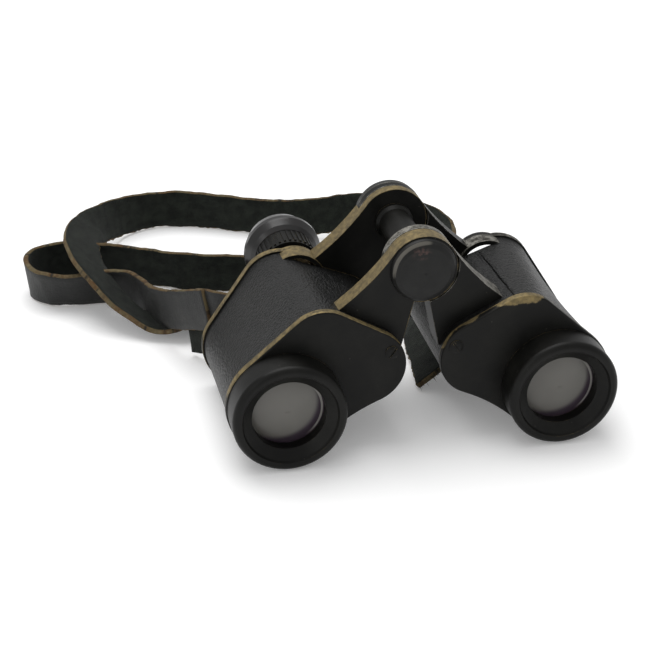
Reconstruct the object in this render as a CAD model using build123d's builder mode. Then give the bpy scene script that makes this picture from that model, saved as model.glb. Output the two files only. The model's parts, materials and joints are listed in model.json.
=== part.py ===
"""Pocket field binoculars with Porro prisms, 24 mm objectives and individual focus.

Millimetres. +Z is up, the objectives look along -Y, and the eyepieces are on +Y. The origin is on
the resting plane, under the middle of the instrument. Positions across a half are written as
(x, z) from the centre hinge, for the half on +X, and a side of -1 mirrors them. The right eyepiece
is missing, and a torn neck strap hangs from the left lug.
"""

import math
import os

from build123d import *

os.makedirs("parts", exist_ok=True)

LEFT, RIGHT = -1, 1
SIDE_NAMES = {LEFT: "left", RIGHT: "right"}

# ---------------------------------------------------------------- driving dimensions
overall_length = 84.0  # front of an objective ring to the back of an eyecup
barrel_length = 10.25  # objective ring, in front of the front cover
cover_thickness = 2.4
housing_depth = 45.45  # between the two covers

objective_axis = (45.25, -41.06)  # from the hinge
eyepiece_axis = (32.9, -19.4)
prism_corner = (28.3, -36.2)  # where the light turns forward again between the prisms

# Lobes of the outline of a half: centre from the hinge, and radius.
ring_lobe_radius = 18.9
front_eye_lobe = ((33.2, -21.7), 12.4)
rear_eye_lobe = ((38.0, -23.0), 12.9)
inner_lobe = ((19.0, -30.5), 13.3)
rear_outer_lobe_x = 48.0
rear_outer_lobe_radius = 16.0
waist_radius = 60.0  # hollow lower edge between the inner and the outer lobe

cover_overhang = 0.7  # the covers stand this far outside the leather
leather_thickness = 0.8
housing_wall = 1.3
shelf_thickness = 2.2
edge_rounding = 0.7

# Hinge
ear_radius = 11.4
front_arm_start = 16.2  # from the front of the instrument
front_ear_thickness = 6.0  # left front ear, which holds the cap
lapped_ear_thickness = 3.0
rear_arm_thickness = 6.6
ear_gap = 0.3  # between two lapped ears, and between an ear and what turns beside it
lap_clearance = 0.5  # radial room round an ear
axle_radius = 3.2
hinge_tube_radius = 5.6
hinge_tube_wall = 2.1
hinge_collar_radius = 6.4
hinge_collar_length = 2.6
cap_radius = 10.8
cap_spigot_radius = 9.0
cap_thickness = 5.5
cap_seat_depth = 2.9
cap_rounding = 2.4
cap_bow = 0.35
scale_disc_radius = 11.05
scale_disc_thickness = 2.8
axle_screw_head_radius = 4.6
axle_screw_head_height = 1.2
running_clearance = 0.05  # radial, of a turning fit

# Objective
ring_radius = 18.5
ring_rounding = 2.0
recess_radius = 15.6
objective_aperture_radius = 12.0
objective_lens_radius = 13.0
objective_seat_depth = 7.0
funnel_depth = 3.2
spigot_radius = 15.2
spigot_length = 7.2
crown_edge = 1.6
flint_edge = 3.2
crown_front_curve = 62.0
cemented_curve = 48.0
retainer_inner_radius = 11.8
retainer_length = 1.8
seat_clearance = 0.05

# Prisms
prism_width = 12.2
prism_tip_flat = 1.6
clip_thickness = 0.6
clip_width = 4.0

# Eyepiece
eyepiece_sides = (LEFT,)  # the right one is missing, and its bore is open
ocular_travel_front = 2.1
eyepiece_tube_radius = 9.0
eyepiece_tube_wall = 1.05
eyepiece_tube_reach = 7.0  # behind the rear cover
eyepiece_boss_radius = 9.9
throat_radius = 8.4  # of the shoulder in the housing that an eyepiece tube seats on
throat_length = 5.0
focus_ring_radius = 10.2
focus_rib_height = 0.45
focus_rib_count = 36
focus_ring_length = 9.5
focus_web = 1.2
ocular_radius = 7.9
ocular_wall = 0.9
ocular_flange_radius = 8.7
ocular_flange_thickness = 0.9
field_lens_edge = 1.4
field_lens_curve = 24.0
eye_lens_edge = 1.6
eye_lens_curve = 20.0
eyecup_rim_radius = 13.3
eyecup_hole_radius = 6.0
eyecup_clearance = 0.3

# Fasteners and lugs
cover_screw_place = (10.6, -25.5)
cover_screw_head_radius = 2.3
cover_screw_head_height = 0.75
cover_screw_shank_radius = 1.1
cover_screw_length = 5.0
screw_slot_width = 0.6
screw_slot_depth = 0.5
lug_wire_radius = 1.1
lug_place = (51.0, -36.0)
lug_span = 17.4
lug_gap = 5.4

# Neck strap: a flat leather cord that stands on its edge, folded round the bar of the left lug
strap_width = 15.0
strap_thickness = 2.0
strap_fold_gap = 0.2  # between the fold and the bar of the lug

# Centreline of the strap, as (x, distance behind the front, height), from the left lug.
strap_lug_route = [
    (-60.0, 71.0, 23.2),
    (-64.5, 80.0, 19.0),
    (-69.5, 91.0, 13.8),
    (-73.8, 103.0, 9.4),
    (-76.0, 115.0, 7.7),
    (-80.5, 124.5, 7.7),
    (-90.5, 127.5, 7.7),
    (-101.5, 125.0, 7.7),
    (-112.0, 128.0, 7.7),
    (-117.0, 138.0, 7.7),
    (-114.0, 148.5, 7.7),
    (-104.5, 154.5, 7.7),
    (-93.0, 153.0, 7.7),
    (-80.5, 146.0, 7.7),
    (-67.5, 138.0, 7.7),
    (-54.0, 132.0, 7.7),
    (-40.0, 130.5, 7.7),
    (-28.0, 124.0, 7.7),
    (-25.5, 111.0, 7.7),
    (-33.0, 100.5, 7.7),
]
# It goes on, round the left bend and back behind the instrument, to the torn end.
strap_free_route = [
    (-33.0, 100.5, 7.7),
    (-46.0, 97.0, 7.7),
    (-60.0, 97.5, 7.7),
    (-74.5, 101.0, 7.7),
    (-87.5, 108.5, 7.7),
    (-94.5, 121.5, 7.7),
    (-96.5, 136.5, 7.7),
    (-95.5, 151.5, 7.7),
    (-91.5, 166.0, 7.7),
    (-84.5, 180.0, 7.7),
    (-73.0, 190.0, 7.7),
    (-58.5, 193.5, 7.7),
    (-43.5, 189.0, 7.7),
    (-28.5, 182.6, 7.7),
    (-13.5, 175.4, 7.7),
    (1.5, 172.0, 7.7),
    (15.0, 171.5, 7.7),
    (29.0, 167.5, 7.7),
    (40.0, 158.5, 7.7),
    (45.5, 146.0, 7.7),
    (44.5, 132.5, 7.7),
    (39.0, 120.5, 7.7),
    (31.5, 109.5, 7.7),
    (24.5, 98.0, 7.7),
    (18.5, 86.5, 7.7),
    (10.5, 76.5, 7.7),
    (2.5, 68.5, 7.7),
    (-2.2, 58.5, 7.7),
    (-1.8, 49.5, 7.7),
    (-1.5, 42.0, 7.7),
]

# ---------------------------------------------------------------- stations along Y
front = -overall_length / 2
back = overall_length / 2
hinge_height = ring_lobe_radius - objective_axis[1]
front_cover_face = front + barrel_length
housing_front = front_cover_face + cover_thickness
housing_back = housing_front + housing_depth
rear_cover_face = housing_back + cover_thickness
front_arm_face = front + front_arm_start
front_ear_back = front_arm_face + front_ear_thickness
lapped_front_ear = front_ear_back + ear_gap
lapped_front_ear_back = lapped_front_ear + lapped_ear_thickness
rear_arm_face = rear_cover_face - rear_arm_thickness
lapped_rear_ear = rear_cover_face - lapped_ear_thickness
rear_ear_back = lapped_rear_ear - ear_gap
scale_disc_front = rear_cover_face + ear_gap
scale_disc_back = scale_disc_front + scale_disc_thickness
shelf_front = (housing_front + housing_back - shelf_thickness) / 2
shelf_back = shelf_front + shelf_thickness
focus_ring_front = rear_cover_face + ocular_travel_front + ear_gap
focus_ring_back = focus_ring_front + focus_ring_length

front_lobes = {
    "outer": (objective_axis, ring_lobe_radius),
    "eye": front_eye_lobe,
    "inner": inner_lobe,
}
rear_lobes = {
    "outer": (
        (rear_outer_lobe_x, rear_outer_lobe_radius - hinge_height),
        rear_outer_lobe_radius,
    ),
    "eye": rear_eye_lobe,
    "inner": inner_lobe,
}


# ---------------------------------------------------------------- helpers
def station(y):
    """A sketch plane across the instrument: +X right, +Y up from the hinge, extruding forward."""
    return Plane(origin=(0, y, hinge_height), x_dir=(1, 0, 0), z_dir=(0, -1, 0))


def axis_at(place, side, y=0.0):
    """The centre of a round piece, on the axis through place."""
    return (side * place[0], y, hinge_height + place[1])


def profile_plane(place, side):
    """A plane for turned profiles: its X is the radius from the axis at place, its Y the station."""
    return Plane(origin=axis_at(place, side), x_dir=(1, 0, 0), z_dir=(0, 0, 1))


def along_y(place, side):
    return Axis(axis_at(place, side), (0, 1, 0))


def on_circle(centre, radius, angle):
    return (centre[0] + radius * math.cos(angle), centre[1] + radius * math.sin(angle))


def tangent_angle(first, second):
    """The angle of the normal of the line that touches two circles, on the left of first to second."""
    (c1, r1), (c2, r2) = first, second
    dx, dy = c2[0] - c1[0], c2[1] - c1[1]
    return math.atan2(dy, dx) + math.acos((r1 - r2) / math.hypot(dx, dy))


def waist_centre(first, second, radius):
    """The centre of the circle that touches two circles from outside, right of first to second."""
    (c1, r1), (c2, r2) = first, second
    dx, dy = c2[0] - c1[0], c2[1] - c1[1]
    far = math.hypot(dx, dy)
    a, b = r1 + radius, r2 + radius
    turn = math.acos((a * a + far * far - b * b) / (2 * a * far))
    return on_circle(c1, a, math.atan2(dy, dx) - turn)


def draw_outline(lobes, side, inset=0.0):
    """Draws the outline of one half in the active BuildLine: three lobes, two straights, a waist."""
    outer, eye, inner = [
        (lobes[name][0], lobes[name][1] - inset) for name in ("outer", "eye", "inner")
    ]
    waist_r = waist_radius + inset
    waist = waist_centre(inner, outer, waist_r)
    top = tangent_angle(inner, eye)
    shoulder = tangent_angle(eye, outer)
    to_outer = math.atan2(waist[1] - outer[0][1], waist[0] - outer[0][0])
    to_inner = math.atan2(waist[1] - inner[0][1], waist[0] - inner[0][0])

    def arc(lobe, start, end):
        centre, radius = lobe
        points = [
            on_circle(centre, radius, a) for a in (start, (start + end) / 2, end)
        ]
        ThreePointArc(*[(side * x, z) for x, z in points])

    def place(lobe, angle):
        x, z = on_circle(lobe[0], lobe[1], angle)
        return (side * x, z)

    arc(eye, top, shoulder)
    Line(place(eye, shoulder), place(outer, shoulder))
    arc(outer, shoulder, to_outer)
    waist_start = math.atan2(outer[0][1] - waist[1], outer[0][0] - waist[0])
    waist_end = math.atan2(inner[0][1] - waist[1], inner[0][0] - waist[0])
    arc((waist, waist_r), waist_start, waist_end)
    arc(inner, to_inner, top - 2 * math.pi)
    Line(place(inner, top), place(eye, top))


def draw_arm(side):
    """Draws an arm in the active BuildLine, from the ear to well inside the housing."""
    toe = on_circle((0, 0), ear_radius, math.radians(-77))
    crown = on_circle((0, 0), ear_radius, math.radians(38))
    rim = on_circle((0, 0), ear_radius, math.radians(160))
    shoulder_root = (27.6, -12.4)
    shoulder_middle = (19.4, -5.4)
    heel = (6.3, -27.6)

    def at(p):
        return (side * p[0], p[1])

    ThreePointArc(at(crown), at(rim), at(toe))
    Line(at(toe), at(heel))
    Line(at(heel), at(inner_lobe[0]))
    Line(at(inner_lobe[0]), at(front_eye_lobe[0]))
    Line(at(front_eye_lobe[0]), at(shoulder_root))
    ThreePointArc(at(shoulder_root), at(shoulder_middle), at(crown))


def save(builder, name):
    builder.part.label = name
    export_step(builder.part, f"parts/{name}.step")


def bow(curve, radius):
    """How far a spherical face of that curve stands proud at that radius."""
    return curve - math.sqrt(curve * curve - radius * radius)


def outline(lobes, side, inset, y):
    """The face inside one half's outline, at a station."""
    with BuildSketch(station(y)) as face:
        with BuildLine():
            draw_outline(lobes, side, inset)
        make_face()
    return face.sketch


def arm_outline(side, y):
    with BuildSketch(station(y)) as face:
        with BuildLine():
            draw_arm(side)
        make_face()
    return face.sketch


def disc(place, side, radius, y):
    with BuildSketch(station(y)) as face:
        with Locations((side * place[0], place[1])):
            Circle(radius)
    return face.sketch


def turned(place, side, points):
    """The half section of a turned piece, from its corners as (radius, station)."""
    with BuildSketch(profile_plane(place, side)) as face:
        with BuildLine():
            Polyline(*points, close=True)
        make_face()
    return face.sketch


hinge = (0.0, 0.0)
leather_inset = cover_overhang
shell_inset = leather_inset + leather_thickness
cavity_inset = shell_inset + housing_wall


def body_between_covers(side, inset):
    """The solid between the covers, whose outline grows from the front one to the rear one."""
    with BuildPart() as body:
        loft(
            [
                outline(front_lobes, side, inset, housing_front),
                outline(rear_lobes, side, inset, housing_back),
            ],
            ruled=True,
        )
    return body.part


skins = {side: body_between_covers(side, leather_inset) for side in SIDE_NAMES}
shells = {side: body_between_covers(side, shell_inset) for side in SIDE_NAMES}
cavities = {side: body_between_covers(side, cavity_inset) for side in SIDE_NAMES}
front_arm_backs = {LEFT: front_ear_back, RIGHT: lapped_front_ear_back}

# ---------------------------------------------------------------- prism housings with front arms
for side in (LEFT, RIGHT):
    arm_back = front_arm_backs[side]
    arm_length = arm_back - front_arm_face
    with BuildPart() as housing:
        add(shells[side])
        extrude(arm_outline(side, arm_back), amount=arm_length)
        add(cavities[side], mode=Mode.SUBTRACT)
        throat = disc(eyepiece_axis, side, eyepiece_boss_radius, housing_back)
        extrude(throat, amount=throat_length)
        extrude(
            disc(eyepiece_axis, side, throat_radius, housing_back),
            amount=throat_length,
            mode=Mode.SUBTRACT,
        )
        if side == LEFT:
            seat = disc(
                hinge,
                side,
                cap_spigot_radius + running_clearance,
                front_arm_face + cap_seat_depth,
            )
            extrude(seat, amount=cap_seat_depth, mode=Mode.SUBTRACT)
            axle_hole = disc(hinge, side, axle_radius, arm_back)
        else:
            swept = disc(hinge, side, ear_radius + lap_clearance, lapped_front_ear)
            extrude(swept, amount=lapped_front_ear - front_arm_face, mode=Mode.SUBTRACT)
            axle_hole = disc(hinge, side, axle_radius + running_clearance, arm_back)
        extrude(axle_hole, amount=arm_length, mode=Mode.SUBTRACT)
    save(housing, f"{SIDE_NAMES[side]}_housing")

    with BuildPart() as leather:
        add(skins[side])
        add(shells[side], mode=Mode.SUBTRACT)
        extrude(arm_outline(side, arm_back), amount=arm_length, mode=Mode.SUBTRACT)
        extrude(throat, amount=throat_length, mode=Mode.SUBTRACT)
    save(leather, f"{SIDE_NAMES[side]}_leather")

# ---------------------------------------------------------------- covers
spigot_hole = spigot_radius + seat_clearance

for side in (LEFT, RIGHT):
    with BuildPart() as front_cover:
        extrude(outline(front_lobes, side, 0, housing_front), amount=cover_thickness)
        rim = front_cover.faces().sort_by(Axis.Y)[0].outer_wire().edges()
        fillet(rim, edge_rounding)
        extrude(
            disc(objective_axis, side, spigot_hole, housing_front),
            amount=cover_thickness,
            mode=Mode.SUBTRACT,
        )
        extrude(
            disc(cover_screw_place, side, cover_screw_shank_radius, housing_front),
            amount=cover_thickness,
            mode=Mode.SUBTRACT,
        )
    save(front_cover, f"{SIDE_NAMES[side]}_front_cover")

    if side == LEFT:
        ear_start, ear_end = rear_arm_face, rear_ear_back
        lap_start, lap_end = rear_ear_back, rear_cover_face
        ear_bore = axle_radius
    else:
        ear_start, ear_end = lapped_rear_ear, rear_cover_face
        lap_start, lap_end = rear_arm_face, lapped_rear_ear
        ear_bore = axle_radius + running_clearance
    with BuildPart() as rear_cover:
        extrude(arm_outline(side, rear_cover_face), amount=rear_arm_thickness)
        add(skins[side], mode=Mode.SUBTRACT)
        extrude(
            disc(eyepiece_axis, side, eyepiece_boss_radius, housing_back),
            amount=throat_length,
            mode=Mode.SUBTRACT,
        )
        extrude(outline(rear_lobes, side, 0, rear_cover_face), amount=cover_thickness)
        extrude(
            disc(eyepiece_axis, side, eyepiece_boss_radius, rear_cover_face),
            amount=cover_thickness,
        )
        lap = disc(hinge, side, ear_radius + lap_clearance, lap_end)
        extrude(lap, amount=lap_end - lap_start, mode=Mode.SUBTRACT)
        extrude(
            disc(hinge, side, ear_bore, rear_cover_face),
            amount=rear_arm_thickness,
            mode=Mode.SUBTRACT,
        )
        extrude(
            disc(eyepiece_axis, side, eyepiece_tube_radius, rear_cover_face),
            amount=cover_thickness,
            mode=Mode.SUBTRACT,
        )
    save(rear_cover, f"{SIDE_NAMES[side]}_rear_cover")

# ---------------------------------------------------------------- objectives
seat_y = front + objective_seat_depth
crown_bow = bow(crown_front_curve, objective_aperture_radius)
cemented_bow = bow(cemented_curve, objective_lens_radius)
crown_back = seat_y + crown_edge
flint_back = crown_back + flint_edge
lens_bore = objective_lens_radius + seat_clearance
spigot_back = front_cover_face + spigot_length

for side in (LEFT, RIGHT):
    turning_axis = along_y(objective_axis, side)

    with BuildPart() as objective_ring:
        section = turned(
            objective_axis,
            side,
            [
                (recess_radius, front),
                (ring_radius, front),
                (ring_radius, front_cover_face),
                (spigot_radius, front_cover_face),
                (spigot_radius, spigot_back),
                (lens_bore, spigot_back),
                (lens_bore, seat_y),
                (objective_aperture_radius, seat_y),
                (objective_aperture_radius, front + funnel_depth),
                (recess_radius - 0.5, front + 0.8),
            ],
        )
        revolve(section, axis=turning_axis)
        outer_rim = (
            objective_ring.edges()
            .filter_by(GeomType.CIRCLE)
            .filter_by(lambda e: abs(e.radius - ring_radius) < 0.01)
            .sort_by(Axis.Y)[0]
        )
        fillet(outer_rim, ring_rounding)
    save(objective_ring, f"{SIDE_NAMES[side]}_objective_ring")

    with BuildPart() as crown:
        with BuildSketch(profile_plane(objective_axis, side)):
            with BuildLine():
                RadiusArc(
                    (0, seat_y - crown_bow),
                    (objective_aperture_radius, seat_y),
                    -crown_front_curve,
                )
                Polyline(
                    (objective_aperture_radius, seat_y),
                    (objective_lens_radius, seat_y),
                    (objective_lens_radius, crown_back),
                )
                RadiusArc(
                    (objective_lens_radius, crown_back),
                    (0, crown_back + cemented_bow),
                    -cemented_curve,
                )
                Line((0, crown_back + cemented_bow), (0, seat_y - crown_bow))
            make_face()
        revolve(axis=turning_axis)
    save(crown, f"{SIDE_NAMES[side]}_objective_crown_lens")

    with BuildPart() as flint:
        with BuildSketch(profile_plane(objective_axis, side)):
            with BuildLine():
                RadiusArc(
                    (objective_lens_radius, crown_back),
                    (0, crown_back + cemented_bow),
                    -cemented_curve,
                )
                Polyline(
                    (0, crown_back + cemented_bow),
                    (0, flint_back),
                    (objective_lens_radius, flint_back),
                    (objective_lens_radius, crown_back),
                )
            make_face()
        revolve(axis=turning_axis)
    save(flint, f"{SIDE_NAMES[side]}_objective_flint_lens")

    with BuildPart() as retainer:
        section = turned(
            objective_axis,
            side,
            [
                (retainer_inner_radius, flint_back),
                (lens_bore, flint_back),
                (lens_bore, flint_back + retainer_length),
                (retainer_inner_radius, flint_back + retainer_length),
            ],
        )
        revolve(section, axis=turning_axis)
    save(retainer, f"{SIDE_NAMES[side]}_objective_retainer")

# ---------------------------------------------------------------- prism shelves and prisms
def prism_frame(start, end, side, y, backward):
    """A plane on the shelf, mid-way between two light paths: X joins them, Z is the prism's depth."""
    middle = ((start[0] + end[0]) / 2, (start[1] + end[1]) / 2)
    along = Vector(side * (end[0] - start[0]), 0, end[1] - start[1])
    return Plane(
        origin=axis_at(middle, side, y), x_dir=along, z_dir=(0, 1 if backward else -1, 0)
    )


rear_pair = (objective_axis, prism_corner)
front_pair = (prism_corner, eyepiece_axis)
light_hole_radius = prism_width / 2 - 0.7

for side in (LEFT, RIGHT):
    with BuildPart() as shelf:
        extrude(
            outline(rear_lobes, side, -prism_width, shelf_back), amount=shelf_thickness
        )
        add(cavities[side], mode=Mode.INTERSECT)
        for place in (objective_axis, prism_corner, eyepiece_axis):
            extrude(
                disc(place, side, light_hole_radius, shelf_back),
                amount=shelf_thickness,
                mode=Mode.SUBTRACT,
            )
    save(shelf, f"{SIDE_NAMES[side]}_prism_shelf")

    for name, (start, end), y, backward in (
        ("rear_prism", rear_pair, shelf_back, True),
        ("front_prism", front_pair, shelf_front, False),
    ):
        frame = prism_frame(start, end, side, y, backward)
        offset_length = math.hypot(end[0] - start[0], end[1] - start[1])
        prism_length = offset_length + prism_width
        height = prism_length / 2
        across = Plane(frame.origin, x_dir=frame.x_dir, z_dir=-frame.y_dir)
        with BuildPart() as prism:
            with BuildSketch(frame):
                SlotCenterToCenter(offset_length, prism_width)
            extrude(amount=height)
            with BuildSketch(across):
                with BuildLine():
                    Polyline(
                        (-height, 0),
                        (height, 0),
                        (prism_tip_flat / 2, height - prism_tip_flat / 2),
                        (-prism_tip_flat / 2, height - prism_tip_flat / 2),
                        close=True,
                    )
                make_face()
            extrude(amount=prism_width / 2, both=True, mode=Mode.INTERSECT)
        save(prism, f"{SIDE_NAMES[side]}_{name}")

        tip = height - prism_tip_flat / 2
        half = prism_width / 2
        with BuildPart() as strap_clip:
            with BuildSketch(Plane(frame.origin, x_dir=frame.y_dir, z_dir=frame.x_dir)):
                with BuildLine():
                    Polyline(
                        (half, 0),
                        (half + clip_thickness, 0),
                        (half + clip_thickness, tip + clip_thickness),
                        (-half - clip_thickness, tip + clip_thickness),
                        (-half - clip_thickness, 0),
                        (-half, 0),
                        (-half, tip),
                        (half, tip),
                        close=True,
                    )
                make_face()
            extrude(amount=clip_width / 2, both=True)
        save(strap_clip, f"{SIDE_NAMES[side]}_{name}_clip")

# ---------------------------------------------------------------- eyepieces
tube_end = rear_cover_face + eyepiece_tube_reach
web_front = focus_ring_back - focus_web
flange_back = web_front - ear_gap
ocular_start = housing_back + ocular_travel_front + ear_gap
eyecup_floor = back - 4.2
ocular_end = eyecup_floor - eyecup_clearance
ocular_bore = ocular_radius - ocular_wall
focus_bore = eyepiece_tube_radius + running_clearance
web_bore = ocular_radius + eyecup_clearance
rim_front = focus_ring_back + 3.8
rim_back = rim_front + 2.4
field_lens_front = ocular_start + 1.2
eye_lens_back = ocular_end - 0.8

for side in eyepiece_sides:
    turning_axis = along_y(eyepiece_axis, side)
    turned_pieces = {
        "eyepiece_tube": [
            (ocular_radius + running_clearance, housing_back),
            (eyepiece_tube_radius, housing_back),
            (eyepiece_tube_radius, tube_end),
            (ocular_radius + running_clearance, tube_end),
        ],
        "ocular_tube": [
            (ocular_bore, ocular_start),
            (ocular_radius, ocular_start),
            (ocular_radius, flange_back - ocular_flange_thickness),
            (ocular_flange_radius, flange_back - ocular_flange_thickness),
            (ocular_flange_radius, flange_back),
            (ocular_radius, flange_back),
            (ocular_radius, ocular_end),
            (ocular_bore, ocular_end),
        ],
        "eyecup": [
            (web_bore, focus_ring_back),
            (focus_ring_radius + 0.2, focus_ring_back),
            (focus_ring_radius + 1.5, focus_ring_back + 1.3),
            (eyecup_rim_radius - 0.3, rim_front - 0.5),
            (eyecup_rim_radius, rim_front),
            (eyecup_rim_radius, rim_back - 0.6),
            (eyecup_rim_radius - 0.6, rim_back),
            (eyecup_rim_radius - 1.6, back - 1.2),
            (eyecup_rim_radius - 2.8, back),
            (eyecup_rim_radius - 3.8, back),
            (eyecup_hole_radius, eyecup_floor + 1.0),
            (eyecup_hole_radius, eyecup_floor),
            (web_bore, eyecup_floor),
        ],
    }
    for name, corners in turned_pieces.items():
        with BuildPart() as piece:
            revolve(turned(eyepiece_axis, side, corners), axis=turning_axis)
        save(piece, f"{SIDE_NAMES[side]}_{name}")

    with BuildPart() as focus_ring:
        section = turned(
            eyepiece_axis,
            side,
            [
                (focus_bore, focus_ring_front),
                (focus_ring_radius, focus_ring_front),
                (focus_ring_radius, focus_ring_back),
                (web_bore, focus_ring_back),
                (web_bore, web_front),
                (focus_bore, web_front),
            ],
        )
        revolve(section, axis=turning_axis)
        with BuildSketch(station(focus_ring_back - 1.0)):
            with Locations((side * eyepiece_axis[0], eyepiece_axis[1])):
                with PolarLocations(focus_ring_radius, focus_rib_count):
                    RectangleRounded(
                        2 * focus_rib_height, focus_rib_height * 1.9, focus_rib_height * 0.6
                    )
        extrude(amount=focus_ring_length - 2.0)
    save(focus_ring, f"{SIDE_NAMES[side]}_focus_ring")

    with BuildPart() as field_lens:
        with BuildSketch(profile_plane(eyepiece_axis, side)):
            with BuildLine():
                RadiusArc(
                    (0, field_lens_front - bow(field_lens_curve, ocular_bore)),
                    (ocular_bore, field_lens_front),
                    -field_lens_curve,
                )
                Polyline(
                    (ocular_bore, field_lens_front),
                    (ocular_bore, field_lens_front + field_lens_edge),
                    (0, field_lens_front + field_lens_edge),
                    (0, field_lens_front - bow(field_lens_curve, ocular_bore)),
                )
            make_face()
        revolve(axis=turning_axis)
    save(field_lens, f"{SIDE_NAMES[side]}_field_lens")

    with BuildPart() as eye_lens:
        eye_lens_front = eye_lens_back - eye_lens_edge
        eye_bow = bow(eye_lens_curve, ocular_bore)
        with BuildSketch(profile_plane(eyepiece_axis, side)):
            with BuildLine():
                RadiusArc(
                    (0, eye_lens_front - eye_bow),
                    (ocular_bore, eye_lens_front),
                    -eye_lens_curve,
                )
                Polyline(
                    (ocular_bore, eye_lens_front),
                    (ocular_bore, eye_lens_back),
                    (0, eye_lens_back),
                    (0, eye_lens_front - eye_bow),
                )
            make_face()
        revolve(axis=turning_axis)
    save(eye_lens, f"{SIDE_NAMES[side]}_eye_lens")

# ---------------------------------------------------------------- cover screws and strap lugs
lug_bar_y = rear_cover_face + lug_gap + lug_wire_radius

for side in (LEFT, RIGHT):
    head_front = front_cover_face - cover_screw_head_height
    with BuildPart() as cover_screw:
        section = turned(
            cover_screw_place,
            side,
            [
                (0, head_front),
                (cover_screw_head_radius * 0.6, head_front + 0.12),
                (cover_screw_head_radius, front_cover_face - 0.25),
                (cover_screw_head_radius, front_cover_face),
                (cover_screw_shank_radius, front_cover_face),
                (cover_screw_shank_radius, front_cover_face + cover_thickness),
                (0, front_cover_face + cover_thickness),
            ],
        )
        revolve(section, axis=along_y(cover_screw_place, side))
        with BuildSketch(station(head_front + screw_slot_depth)):
            with Locations((side * cover_screw_place[0], cover_screw_place[1])):
                Rectangle(
                    screw_slot_width, 3 * cover_screw_head_radius, rotation=side * 35
                )
        extrude(amount=screw_slot_depth + 1.0, mode=Mode.SUBTRACT)
    save(cover_screw, f"{SIDE_NAMES[side]}_cover_screw")

    foot_top = axis_at((lug_place[0], lug_place[1] + lug_span / 2), side, rear_cover_face)
    foot_low = axis_at((lug_place[0], lug_place[1] - lug_span / 2), side, rear_cover_face)
    with BuildPart() as strap_lug:
        with BuildLine():
            FilletPolyline(
                foot_top,
                (foot_top[0], lug_bar_y, foot_top[2]),
                (foot_low[0], lug_bar_y, foot_low[2]),
                foot_low,
                radius=1.6 * lug_wire_radius,
            )
        with BuildSketch(Plane(foot_top, x_dir=(1, 0, 0), z_dir=(0, 1, 0))):
            Circle(lug_wire_radius)
        sweep()
    save(strap_lug, f"{SIDE_NAMES[side]}_strap_lug")

# ---------------------------------------------------------------- hinge
tube_front = lapped_front_ear_back + ear_gap
axle_front = front_arm_face + cap_seat_depth
cap_front = axle_front - cap_thickness
hinge_pieces = {
    "hinge_axle": [
        (0, axle_front),
        (axle_radius, axle_front),
        (axle_radius, scale_disc_back),
        (0, scale_disc_back),
    ],
    "hinge_tube": [
        (hinge_tube_radius - hinge_tube_wall, tube_front),
        (hinge_tube_radius, tube_front),
        (hinge_tube_radius, rear_arm_face - hinge_collar_length),
        (hinge_collar_radius, rear_arm_face - hinge_collar_length + 1.2),
        (hinge_collar_radius, rear_arm_face),
        (hinge_tube_radius - hinge_tube_wall, rear_arm_face),
    ],
    "hinge_cap": [
        (0, cap_front - cap_bow),
        (cap_radius * 0.55, cap_front - cap_bow * 0.7),
        (cap_radius - cap_rounding, cap_front),
        (cap_radius - cap_rounding * 0.45, cap_front + cap_rounding * 0.25),
        (cap_radius - cap_rounding * 0.12, cap_front + cap_rounding * 0.6),
        (cap_radius, cap_front + cap_rounding),
        (cap_radius, front_arm_face),
        (cap_spigot_radius, front_arm_face),
        (cap_spigot_radius, axle_front),
        (0, axle_front),
    ],
    "interpupillary_scale_disc": [
        (axle_radius, scale_disc_front),
        (scale_disc_radius, scale_disc_front),
        (scale_disc_radius, scale_disc_back - 0.6),
        (scale_disc_radius - 0.6, scale_disc_back),
        (axle_radius, scale_disc_back),
    ],
}
for name, corners in hinge_pieces.items():
    with BuildPart() as piece:
        revolve(turned(hinge, LEFT, corners), axis=along_y(hinge, LEFT))
    save(piece, name)

with BuildPart() as axle_screw:
    head_back = scale_disc_back + axle_screw_head_height
    section = turned(
        hinge,
        LEFT,
        [
            (0, scale_disc_back),
            (axle_screw_head_radius, scale_disc_back),
            (axle_screw_head_radius, head_back - 0.5),
            (axle_screw_head_radius * 0.7, head_back),
            (0, head_back),
        ],
    )
    revolve(section, axis=along_y(hinge, LEFT))
    with BuildSketch(station(head_back)):
        Rectangle(screw_slot_width * 1.6, 3 * axle_screw_head_radius, rotation=20)
    extrude(amount=screw_slot_depth * 1.4, mode=Mode.SUBTRACT)
save(axle_screw, "axle_screw")

# ---------------------------------------------------------------- neck strap
def corner_radii(points):
    """Radius at each corner: 0.45 of the shorter run, divided by the tangent of half the turn."""
    radii = []
    for before, here, after in zip(points, points[1:], points[2:]):
        run_in = here - before
        run_out = after - here
        half_turn = math.radians(run_in.get_angle(run_out)) / 2
        radii.append(0.45 * min(run_in.length, run_out.length) / math.tan(half_turn))
    return radii


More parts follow.
